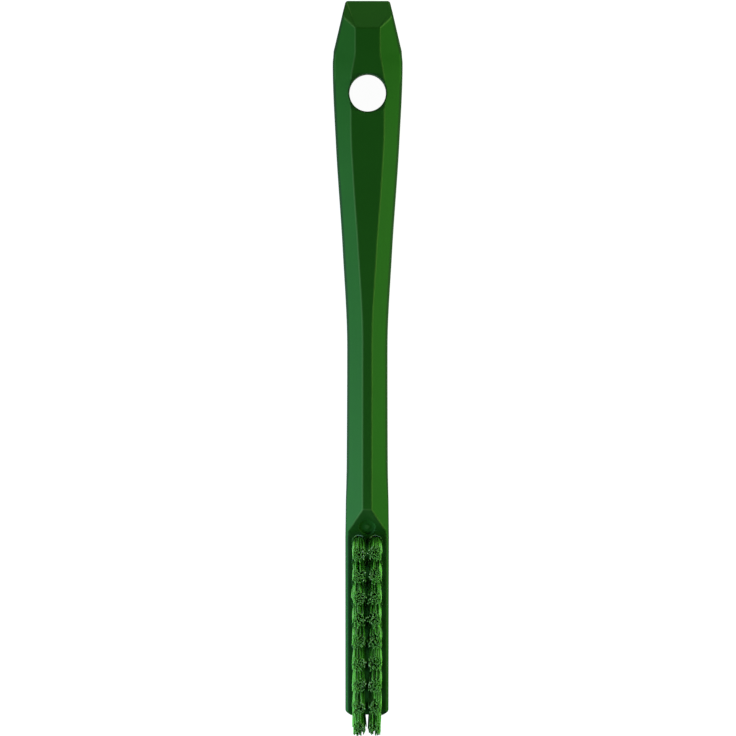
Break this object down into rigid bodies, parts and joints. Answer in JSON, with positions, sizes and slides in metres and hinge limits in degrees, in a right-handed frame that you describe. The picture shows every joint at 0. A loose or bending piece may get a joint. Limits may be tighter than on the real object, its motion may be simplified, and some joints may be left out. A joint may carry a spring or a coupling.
{
  "type": "hand scrub brush",
  "caption": "Slim one-piece moulded hand scrub brush with a faceted handle, a hanging hole and two rows of stiff upright bristle tufts.",
  "frame": {"origin": "under the middle of the brush's overall length and width, on the flat back that it lies on", "axes": "+Y along the brush towards the hanging hole, +Z away from the flat back towards the bristle tips, +X to the right seen from the bristle side with the hanging hole up"},
  "size_m": [0.0196, 0.2044, 0.0285],
  "materials": {
    "block": "moulded green polypropylene, satin",
    "bristle": "green polyester filament",
    "anchor_wire": "flat stainless wire"
  },
  "bodies": {
    "root": {"handle_block": "block", "tuft_left_1": "bristle", "tuft_left_2": "bristle", "tuft_left_3": "bristle", "tuft_left_4": "bristle", "tuft_left_5": "bristle", "tuft_left_6": "bristle", "tuft_left_7": "bristle", "tuft_left_8": "bristle", "tuft_left_9": "bristle", "tuft_right_1": "bristle", "tuft_right_2": "bristle", "tuft_right_3": "bristle", "tuft_right_4": "bristle", "tuft_right_5": "bristle", "tuft_right_6": "bristle", "tuft_right_7": "bristle", "tuft_right_8": "bristle", "tuft_right_9": "bristle", "anchor_left_1": "anchor_wire", "anchor_left_2": "anchor_wire", "anchor_left_3": "anchor_wire", "anchor_left_4": "anchor_wire", "anchor_left_5": "anchor_wire", "anchor_left_6": "anchor_wire", "anchor_left_7": "anchor_wire", "anchor_left_8": "anchor_wire", "anchor_left_9": "anchor_wire", "anchor_right_1": "anchor_wire", "anchor_right_2": "anchor_wire", "anchor_right_3": "anchor_wire", "anchor_right_4": "anchor_wire", "anchor_right_5": "anchor_wire", "anchor_right_6": "anchor_wire", "anchor_right_7": "anchor_wire", "anchor_right_8": "anchor_wire", "anchor_right_9": "anchor_wire"}
  },
  "joints": []
}
